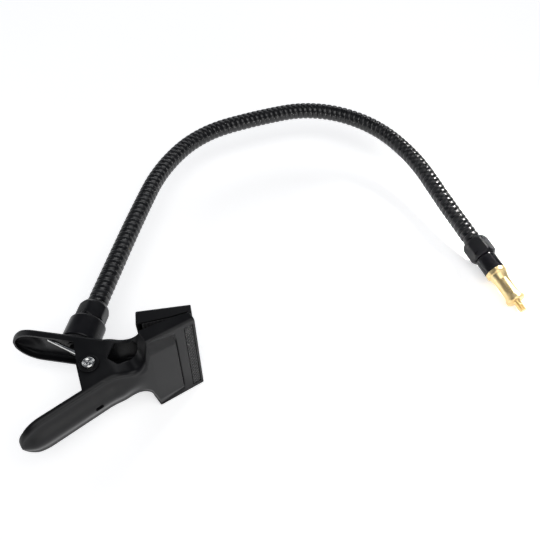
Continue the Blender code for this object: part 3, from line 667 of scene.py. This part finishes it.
# ---- pads ----------------------------------------------------------------------------------------
def knurl(a, w):
    """Depth of the diagonal cross-cut grooves on the pad's key, 0 on the tops of its teeth."""
    across = abs(math.sin(math.pi * (a + w) / KNURL_PITCH))
    along = abs(math.sin(math.pi * (a - w) / KNURL_PITCH))
    return KNURL_DEPTH * (1.0 - min(1.0, 1.9 * min(across, along)))


def make_pad(name, matrix, body, node, mat):
    """Rubber wedge inside a jaw, with a ribbed gripping face."""
    meet = math.tan(math.radians(HALF_ANGLE))
    half = JAW_HALF_WIDTH - SHEET - GAP
    back = JAW_BACK - SHEET - GAP
    chamfer = JAW_BEND - SHEET
    shell = Shell(LOWER_HANDLE_HALF_WIDTH, LOWER_HANDLE_END, False)
    rows = []
    steps = 96
    for k in range(steps + 1):
        a = PAD_REAR + (PAD_FRONT - PAD_REAR) * k / steps
        trim = 0.8 * (1.0 - smooth_step(min(a - PAD_REAR, PAD_FRONT - a), 0.0, 0.8))
        rib = 0.35 * abs(math.sin(math.pi * a / 2.4))
        face = max(shell.flange_edge(a) - PAD_PROUD + trim + rib, a * meet + 0.2)
        w_half = half - trim
        rows.append([Vector((a, w, n)) for w, n in (
            (-w_half, face + 0.8), (-w_half + 0.25, face + 0.25), (-w_half + 0.8, face),
            (w_half - 0.8, face), (w_half - 0.25, face + 0.25), (w_half, face + 0.8),
            (w_half, back - chamfer), (w_half - chamfer, back), (chamfer - w_half, back),
            (-w_half, back - chamfer))])
    wedge = make_piece(name, loft(rows), matrix, mat, 40.0)
    return finish_piece(wedge, body, "pad_rubber", node)


def make_pad_key(name, matrix, body, mat):
    """Knurled key on the pad's back, which fills the jaw's window."""
    back = JAW_BACK - SHEET - GAP
    key_half = (SLOT_FRONT - SLOT_REAR) / 2.0 - GAP
    key_long = SLOT_HALF_LENGTH - GAP - 0.3
    middle = (SLOT_REAR + SLOT_FRONT) / 2.0
    top = JAW_BACK - KEY_BELOW
    grid = bmesh.new()
    columns = []
    count_a = 20
    count_w = 376
    for i in range(count_a + 1):
        a = middle - key_half + 2.0 * key_half * i / count_a
        column = []
        for k in range(count_w + 1):
            w = key_long * (2.0 * k / count_w - 1.0)
            rim = i in (0, count_a) or k in (0, count_w)
            drop = back - top + 0.05 if rim else -knurl(a, w)
            column.append(grid.verts.new(Vector((a, w, top + drop))))
        columns.append(column)
    for low, high in zip(columns, columns[1:]):
        for k in range(count_w):
            grid.faces.new((low[k], high[k], high[k + 1], low[k + 1]))
    rim = [e for e in grid.edges if e.is_boundary]
    grid.faces.new([v for v in edge_loop(rim)])
    key = make_piece(name, grid, matrix, mat, 30.0)
    return finish_piece(key, body, "pad_rubber")


def edge_loop(edges):
    """Vertices of a closed chain of edges, in order."""
    first = edges[0]
    order = [first.verts[0], first.verts[1]]
    known = set(edges)
    known.discard(first)
    while order[-1] is not order[0]:
        for edge in order[-1].link_edges:
            if edge in known:
                known.discard(edge)
                order.append(edge.other_vert(order[-1]))
                break
    return order[:-1]


# ---- rivet, washers and spring -------------------------------------------------------------------
def rivet_height(radius, angle):
    """Height of the rivet's head: a rolled rim about a dished centre, with a three-lobed set mark."""
    share = radius / RIVET_HEAD_RADIUS
    rim = smooth_step(share, 0.48, 0.74) * (1.0 - 0.75 * smooth_step(share, 0.8, 1.0))
    mark = 0.28 * math.exp(-((share - 0.3) / 0.16) ** 2) * max(0.0, math.cos(3.0 * angle)) ** 2
    return RIVET_HEAD_HEIGHT * (0.46 + 0.5 * rim) + mark


def make_rivet(mat):
    top = LOWER_HANDLE_HALF_WIDTH + 2.0 * GAP + WASHER_THICK
    shares = (0.06, 0.14, 0.22, 0.3, 0.38, 0.46, 0.53, 0.6, 0.66, 0.72, 0.78, 0.84, 0.89, 0.93, 0.97, 1.0)
    angles = [2 * math.pi * k / RIVET_SIDES for k in range(RIVET_SIDES)]
    heads = []
    for sign in (1.0, -1.0):
        head = []
        for share in shares:
            radius = RIVET_HEAD_RADIUS * share
            head.append([(radius, angle, sign * (top + rivet_height(radius, angle))) for angle in angles])
        for radius in (RIVET_HEAD_RADIUS, RIVET_RADIUS):
            head.append([(radius, angle, sign * top) for angle in angles])
        heads.append(head)
    rows = [[Vector((r * math.cos(angle), r * math.sin(angle), z)) for r, angle, z in row]
            for row in heads[1] + heads[0][::-1]]
    piece = make_piece("rivet", loft(rows), axis_placement(PIVOT, UP), mat, 50.0)
    return finish_piece(piece, "upper_half", "zinc_steel", "pivot_rivet")


def make_washers(mat):
    low = LOWER_HANDLE_HALF_WIDTH + GAP
    for side, direction in (("top", UP), ("bottom", -UP)):
        high = low + WASHER_THICK
        corners = [(EAR_HOLE_RADIUS + 0.4, low), (WASHER_RADIUS, low), (WASHER_RADIUS, high),
                   (EAR_HOLE_RADIUS, high), (EAR_HOLE_RADIUS, low), (EAR_HOLE_RADIUS + 0.4, low)]
        ring = lathe(filleted(corners, 0.35)[:-1], closed=True)
        piece = make_piece("washer_" + side, ring, axis_placement(PIVOT, direction), mat)
        finish_piece(piece, "upper_half", "painted_steel", "rivet_washer_" + side)


def leg_tangent(reach):
    """Angles, from the handle's direction, of a leg that leaves the coil and reaches a point."""
    lean = math.asin(SPRING_RADIUS / math.hypot(*reach))
    direction = math.degrees(math.atan2(reach[1], reach[0]) - lean)
    return direction, direction + 90.0


def tube_along(path, radius, sides):
    """Round wire along a list of points, a little narrower at its two ends."""
    rows = []
    across = None
    for i, point in enumerate(path):
        ahead = (path[min(i + 1, len(path) - 1)] - path[max(i - 1, 0)]).normalized()
        if across is None:
            across = ahead.orthogonal().normalized()
        across = (across - ahead * across.dot(ahead)).normalized()
        other = ahead.cross(across)
        scale = 0.72 if i in (0, len(path) - 1) else 1.0
        ring = []
        for k in range(sides):
            angle = 2 * math.pi * k / sides
            ring.append(point + (across * math.cos(angle) + other * math.sin(angle)) * radius * scale)
        rows.append(ring)
    return loft(rows)


def make_spring(mat):
    """One torsion spring: the lower leg, the coil round the rivet and the upper leg."""
    lower_direction, lower_place = leg_tangent(LOWER_LEG_REACH)
    upper_direction, upper_place = leg_tangent(UPPER_LEG_REACH)
    low = LOWER_HEADING + 180.0 + lower_place
    high = ARM_HEADING + 90.0 - upper_place
    high += 360.0 * math.ceil((low - high) / 360.0) + 360.0 * (SPRING_TURNS - 1)
    count = 40 * SPRING_TURNS
    coil = []
    for k in range(count + 1):
        angle = low + (high - low) * k / count
        coil.append(plan_vector(angle) * SPRING_RADIUS + UP * SPRING_HALF_SPAN * (2.0 * k / count - 1.0))
    legs = []
    for point, heading, reach in ((coil[0], LOWER_HEADING + 180.0 + lower_direction, LOWER_LEG_REACH),
                                  (coil[-1], ARM_HEADING + 90.0 - upper_direction, UPPER_LEG_REACH)):
        length = math.sqrt(reach[0] ** 2 + reach[1] ** 2 - SPRING_RADIUS ** 2)
        leg = [point + plan_vector(heading) * length * share for share in (0.08, 0.3, 0.6, 0.98, 1.0)]
        legs.append(leg)
    points = [PIVOT + p for p in legs[0][::-1] + coil + legs[1]]
    piece = make_piece("torsion_spring", tube_along(points, SPRING_WIRE, 20), Matrix.Identity(4), mat, 60.0)
    reach = UP * (SPRING_HALF_SPAN - SPRING_WIRE)
    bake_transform(piece)
    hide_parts("spring_lower_half", "spring_upper_half")
    return piece


# ---- boss, ferrules, socket and spigot -----------------------------------------------------------
def boss_foot():
    """Where the boss's axis meets the upper handle's back."""
    along = plan_vector(ARM_HEADING + 90.0)
    return PIVOT + along * BOSS_ALONG_HANDLE + plan_vector(ARM_HEADING) * HANDLE_PLANE


def boss_levels():
    """z of the boss, the base ferrule and the tube along the boss's axis."""
    boss = 2.0 * GAP + GASKET_THICK
    ferrule = boss + BOSS_LENGTH + GAP
    return boss, ferrule, ferrule + BASE_FERRULE_LENGTH


def make_boss(plastic, rubber):
    matrix = axis_placement(boss_foot(), plan_vector(ARM_HEADING))
    low, ferrule, _ = boss_levels()
    top = ferrule - GAP
    outline = [(0.3, low + 14.5), (SCREW_HOLE_RADIUS, low + 13.0), (SCREW_HOLE_RADIUS, low),
               (BOSS_RADIUS - 0.5, low), (BOSS_RADIUS, low + 0.9), (BOSS_RADIUS, top - 1.8),
               (BOSS_RADIUS - 1.5, top), (0.3, top)]
    piece = make_piece("boss", lathe(filleted(outline, 0.5), 128), matrix, plastic)
    finish_piece(piece, "upper_half", "black_plastic", "arm_boss")
    high = GAP + GASKET_THICK
    corners = [(3.8, GAP), (BOSS_RADIUS - 1.0, GAP), (BOSS_RADIUS - 1.0, high), (SCREW_HOLE_RADIUS, high),
               (SCREW_HOLE_RADIUS, GAP), (3.8, GAP)]
    ring = make_piece("gasket", lathe(filleted(corners, 0.3)[:-1], closed=True), matrix, rubber)
    finish_piece(ring, "upper_half", "pad_rubber", "boss_gasket")


def hexagon_radius(angle):
    """Distance from the axis to the hexagon's side, its corners turned round."""
    side = (FERRULE_FLATS / 2.0) / math.cos((angle + math.pi / 6.0) % (math.pi / 3.0) - math.pi / 6.0)
    blend = 0.35
    return -math.log(math.exp(-side / blend) + math.exp(-FERRULE_CORNER / blend)) * blend


def make_ferrule(name, matrix, low, length, tube_on_top, body, node, mat):
    """Hexagonal ferrule whose corners are turned off in a cone at both ends, counterbored for the tube."""
    high = low + length
    seat = TUBE_RADIUS + GAP
    levels = 26
    sides = 144
    rows = []
    cone_low, cone_high = (2.2, 3.0) if tube_on_top else (3.0, 2.2)
    for k in range(levels + 1):
        t = k / levels
        z = low + length * (t - math.sin(2 * math.pi * t) / (2 * math.pi) * 0.8)
        chamfer = FERRULE_FACE + min((z - low) / cone_low, (high - z) / cone_high) * FERRULE_CONE
        ring = []
        for i in range(sides):
            angle = 2 * math.pi * i / sides
            radius = min(hexagon_radius(angle), chamfer)
            ring.append(Vector((radius * math.cos(angle), radius * math.sin(angle), z)))
        rows.append(ring)
    step = high - TUBE_SEAT - GAP if tube_on_top else low + TUBE_SEAT + GAP
    if tube_on_top:
        inner = [(seat + 0.25, high), (seat, high - 0.3), (seat, step), (FERRULE_BORE, step),
                 (FERRULE_BORE, low)]
    else:
        inner = [(FERRULE_BORE, high), (FERRULE_BORE, step), (seat, step), (seat, low + 0.3),
                 (seat + 0.25, low)]
    rows += turned_rings(inner, sides)
    piece = make_piece(name, loft(rows, ring=True), matrix, mat, 30.0)
    return finish_piece(piece, body, "black_plastic", node)


def thread_rows(low, high, sides):
    """Rings of a screw thread about z, deepest between its crests, that fades in and out at its ends."""
    rows = []
    per_turn = 10
    count = int((high - low) / THREAD_PITCH * per_turn)
    for k in range(count + 1):
        z = low + (high - low) * k / count
        fade = smooth_step(z, low, low + 0.8) * (1.0 - smooth_step(z, high - 0.5, high))
        ring = []
        for i in range(sides):
            turn = ((z - low) / THREAD_PITCH - i / sides) % 1.0
            depth = THREAD_DEPTH * fade * (1.0 - abs(2.0 * turn - 1.0))
            radius = THREAD_RADIUS - 0.35 * smooth_step(z, high - 0.7, high) - depth
            angle = 2 * math.pi * i / sides
            ring.append(Vector((radius * math.cos(angle), radius * math.sin(angle), z)))
        rows.append(ring)
    return rows


def make_tip(point, ahead, satin, gloss, brass):
    matrix = axis_placement(point, ahead)
    make_ferrule("ferrule_tip", matrix, TAIL_LENGTH, TIP_FERRULE_LENGTH, False, "arm_tip",
                 "tip_ferrule", satin)
    low = TAIL_LENGTH + TIP_FERRULE_LENGTH + GAP
    high = low + SOCKET_LENGTH
    outline = [(0.3, low), (SOCKET_RADIUS - 0.2, low), (SOCKET_RADIUS, low + 1.0),
               (SOCKET_RADIUS, high - 1.0), (SOCKET_RADIUS - 0.1, high), (0.3, high)]
    socket = make_piece("socket", lathe(filleted(outline, 0.5), 128), matrix, gloss)
    finish_piece(socket, "arm_tip", "black_plastic", "tip_socket")
    make_spigot(matrix, high + GAP, brass)


def make_spigot(matrix, base, mat):
    """Turned stud: a base flange, a waisted neck, a tip flange and the thread."""
    outline = [(0.3, 0.0), (SPIGOT_BASE - 0.4, 0.0), (SPIGOT_BASE, 0.5), (SPIGOT_BASE, 3.4),
               (SPIGOT_BASE - 0.5, 4.0), (SPIGOT_BASE - 1.0, 4.1), (SPIGOT_BASE - 1.1, 5.0),
               (SPIGOT_NECK + 0.5, 8.6), (SPIGOT_NECK, 9.9), (SPIGOT_NECK, 24.0), (SPIGOT_NECK + 0.4, 25.2),
               (SPIGOT_TIP - 0.3, 27.9), (SPIGOT_TIP, 28.3), (SPIGOT_TIP, 30.2), (SPIGOT_TIP - 0.7, 31.0),
               (THREAD_RADIUS + 0.1, 31.0), (THREAD_RADIUS, 31.3), (THREAD_RADIUS, 31.5)]
    sides = 96
    rows = turned_rings([(radius, base + z) for radius, z in filleted(outline, 0.35)], sides)
    rows += thread_rows(base + 31.6, base + 40.4, sides)
    spigot = make_piece("spigot", loft(rows), matrix, mat, 32.0)
    finish_piece(spigot, "arm_tip", "brass", "brass_spigot")


# ---- gooseneck -----------------------------------------------------------------------------------
class Route:
    """Centreline of the arm, from the base ferrule's seat to the tip ferrule's, by length along it."""

    def __init__(self):
        self.samples = []
        point = boss_foot() + plan_vector(ARM_HEADING) * boss_levels()[2]
        ahead = plan_vector(ARM_HEADING)
        self.samples.append((TUBE_START, point - ahead * TUBE_SEAT, ahead))
        point += ahead * LEAD_LENGTH
        heading = ARM_HEADING
        steps = 24
        length = 0.0
        for k, turn in enumerate(ARM_TURNS):
            climbs = (ARM_CLIMBS[k], ARM_CLIMBS[k + 1])
            for i in range(steps):
                ahead = self.direction(heading, turn, climbs, i / steps)
                self.samples.append((length, point.copy(), ahead))
                point += self.direction(heading, turn, climbs, (i + 0.5) / steps) * SEGMENT_LENGTH / steps
                length += SEGMENT_LENGTH / steps
            heading += turn
        self.end_point = point.copy()
        self.end_ahead = self.direction(heading, 0.0, (ARM_CLIMBS[-1], ARM_CLIMBS[-1]), 0.0)
        self.length = length + TAIL_LENGTH
        self.samples.append((length, self.end_point, self.end_ahead))
        extra = TAIL_LENGTH + TUBE_SEAT
        self.samples.append((length + extra, self.end_point + self.end_ahead * extra, self.end_ahead))

    @staticmethod
    def direction(heading, turn, climbs, share):
        climb = math.radians(climbs[0] + (climbs[1] - climbs[0]) * share)
        return plan_vector(heading + turn * share) * math.cos(climb) + UP * math.sin(climb)

    def at(self, length):
        """Point, direction, and the two directions across the tube."""
        for (s0, p0, d0), (s1, p1, d1) in zip(self.samples, self.samples[1:]):
            if length <= s1:
                break
        t = (length - s0) / (s1 - s0)
        ahead = d0.lerp(d1, t).normalized()
        side = UP.cross(ahead).normalized()
        return p0.lerp(p1, t), ahead, side, ahead.cross(side)


def ridge_profile():
    """(share of the pitch, radius) across one ridge, from groove to groove."""
    points = [(0.0, TUBE_RADIUS - RIDGE_DEPTH)]
    points.append((0.07, TUBE_RADIUS - 0.72 * RIDGE_DEPTH))
    for k in range(9):
        angle = math.radians(170.0 - 160.0 * k / 8)
        depth = 0.62 * RIDGE_DEPTH * (1.0 - math.sin(angle))
        points.append((0.5 + 0.4 * math.cos(angle), TUBE_RADIUS - depth))
    points.append((0.93, TUBE_RADIUS - 0.72 * RIDGE_DEPTH))
    return points


def gooseneck_piece(name, route, first, last, per_turn, mat):
    """Part of the wound tube: the ridge's profile swept along a helix, from one step to another."""
    profile = ridge_profile()
    bm = bmesh.new()
    uv = bm.loops.layers.uv.new("UVMap")
    pitch_step = RIDGE_PITCH / per_turn
    verts = {}

    def vert(step, j):
        if j == len(profile):
            step, j = step + per_turn, 0
        if (step, j) not in verts:
            share, radius = profile[j]
            length = TUBE_START + step * pitch_step + share * RIDGE_PITCH
            point, _, side, top = route.at(length)
            angle = 2 * math.pi * step / per_turn
            across = side * math.cos(angle) + top * math.sin(angle)
            verts[step, j] = bm.verts.new(point + across * radius)
        return verts[step, j]

    for step in range(first, last):
        for j in range(len(profile)):
            corners = ((0, 0), (0, 1), (1, 1), (1, 0))
            face = bm.faces.new([vert(step + ds, j + dj) for ds, dj in corners])
            for loop, (ds, dj) in zip(face.loops, corners):
                turns = (step + ds) / per_turn
                loop[uv].uv = (turns * 0.9, turns * 0.1 + (j + dj) / len(profile) * 0.1)
    return make_piece(name, bm, Matrix.Identity(4), mat, 60.0)


def make_gooseneck(mat):
    """Eight pieces, each spanning one hinge, whose ends meet halfway along the segments."""
    route = Route()
    per_turn = 40
    total = int((route.length + TUBE_SEAT - TUBE_START - 0.6) / RIDGE_PITCH * per_turn) - per_turn
    hinges = [joint for joint in frame["joints"] if joint["name"].startswith("arm_")]
    cut = 0
    for k, hinge in enumerate(hinges):
        at = (k + 1) * SEGMENT_LENGTH
        stop = total
        if k < len(hinges) - 1:
            middle_of_next = at + 0.5 * SEGMENT_LENGTH - TUBE_START
            stop = int((middle_of_next - 0.5 * RIDGE_PITCH) / RIDGE_PITCH * per_turn)
        piece = gooseneck_piece("gooseneck_%d" % (k + 1), route, cut, stop, per_turn, mat)
        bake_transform(piece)
        nodes = ["arm_segment_%d" % (k + 1)] + (["arm_segment_9"] if k == len(hinges) - 1 else [])
        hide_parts(*nodes)
        cut = stop
    return route


# ---- stage ---------------------------------------------------------------------------------------
def make_floor():
    bm = bmesh.new()
    bmesh.ops.create_grid(bm, x_segments=2, y_segments=2, size=3500.0)
    look = Look("studio_floor", 0.0, specular=0.0)
    shade = look.ramp(look.noise(400.0, 2.0), [(0.3, (0.86, 0.86, 0.86)), (0.7, (0.88, 0.88, 0.88))])
    look.shader.inputs["Emission Color"].default_value = (1.0, 1.0, 1.0, 1.0)
    look.shader.inputs["Emission Strength"].default_value = FLOOR_GLOW
    mat = look.done(shade, look.remap(look.noise(200.0), 0.85, 0.95), look.bump(look.noise(3.0), 0.02))
    floor = make_piece("studio_floor", bm, Matrix.Identity(4), mat)
    floor.location.z = -0.05 * MM


def soft_box(name, place, target, size, power, colour, spread=180.0):
    """Flat light that faces a target; places in metres, power in watts, spread in degrees."""
    light = bpy.data.lights.new(name, 'AREA')
    light.shape = 'RECTANGLE'
    light.size, light.size_y = size
    light.energy = power
    light.color = colour
    light.spread = math.radians(spread)
    lamp = bpy.data.objects.new(name, light)
    bpy.context.scene.collection.objects.link(lamp)
    lamp.location = place
    lamp.rotation_euler = (Vector(target) - Vector(place)).to_track_quat('-Z', 'Y').to_euler()


def make_stage():
    make_floor()
    world = bpy.data.worlds.new("studio")
    world.use_nodes = True
    back = world.node_tree.nodes["Background"]
    back.inputs["Color"].default_value = (0.80, 0.86, 1.0, 1.0)
    back.inputs["Strength"].default_value = 0.10
    bpy.context.scene.world = world
    soft_box("key", place=(0.72, -1.12, 0.25), target=(-0.1, -0.1, 0.03), size=(0.6, 0.3), power=3.0,
             colour=(1.0, 0.99, 0.97))
    soft_box("top", place=(0.2, -0.75, 1.25), target=(0.0, 0.0, 0.0), size=(1.2, 0.9), power=8.5,
             colour=(1.0, 1.0, 1.0))
    soft_box("rim", place=(-1.1, 0.3, 0.6), target=(0.0, 0.0, 0.03), size=(0.5, 0.8), power=1.4,
             colour=(0.95, 0.98, 1.0))
    soft_box("back", place=(0.2, 1.4, 0.95), target=(0.0, 0.1, 0.0), size=(1.6, 0.4), power=5.0,
             colour=(0.97, 0.98, 1.0))
    soft_box("tip", place=(0.62, 0.69, 0.87), target=(0.26, -0.03, 0.02), size=(0.26, 0.26), power=0.8,
             colour=(1.0, 0.98, 0.95), spread=16.0)


def make_camera():
    """Camera 48 degrees down, straight over the clamp's side of the part."""
    data = bpy.data.cameras.new("camera")
    data.lens = CAMERA_LENS
    data.sensor_width = 36.0
    data.clip_start = 0.01
    data.clip_end = 50.0
    camera = bpy.data.objects.new("camera", data)
    bpy.context.scene.collection.objects.link(camera)
    camera.location = (PIVOT + Vector(CAMERA_FROM_PIVOT)) * MM
    camera.rotation_euler = (math.radians(90.0 - CAMERA_PITCH), 0.0, 0.0)
    bpy.context.scene.camera = camera


def main():
    painted = painted_steel_look()
    rubber = rubber_look()
    zinc = zinc_look()
    satin = collar_look("satin_black_collar", 0.24, 0.36, 0.012)
    gloss = collar_look("gloss_black_collar", 0.08, 0.16, 0.003)
    lacquer = gooseneck_look()
    brass = brass_look()
    make_lower_shell(painted)
    make_upper_shell(painted)
    make_pad("pad_lower", lower_matrix(), "lower_half", "lower_pad", rubber)
    make_pad_key("pad_lower_key", lower_matrix(), "lower_half", rubber)
    make_pad("pad_upper", upper_matrix(), "upper_half", "upper_pad", rubber)
    make_pad_key("pad_upper_key", upper_matrix(), "upper_half", rubber)
    make_rivet(zinc)
    make_washers(painted)
    make_spring(zinc)
    make_boss(satin, rubber)
    matrix = axis_placement(boss_foot(), plan_vector(ARM_HEADING))
    make_ferrule("ferrule_base", matrix, boss_levels()[1], BASE_FERRULE_LENGTH, True, "upper_half",
                 "base_ferrule", satin)
    route = make_gooseneck(lacquer)
    make_tip(route.end_point, route.end_ahead, satin, gloss, brass)
    for node, mat in (("pivot_sleeve", zinc), ("boss_screw", painted), ("boss_washer", painted)):
        carried = frame["nodes"][node]
        carried.data.materials.clear()
        carried.data.materials.append(mat)
    make_stage()
    make_camera()
    bpy.context.scene.view_settings.view_transform = 'Standard'


main()
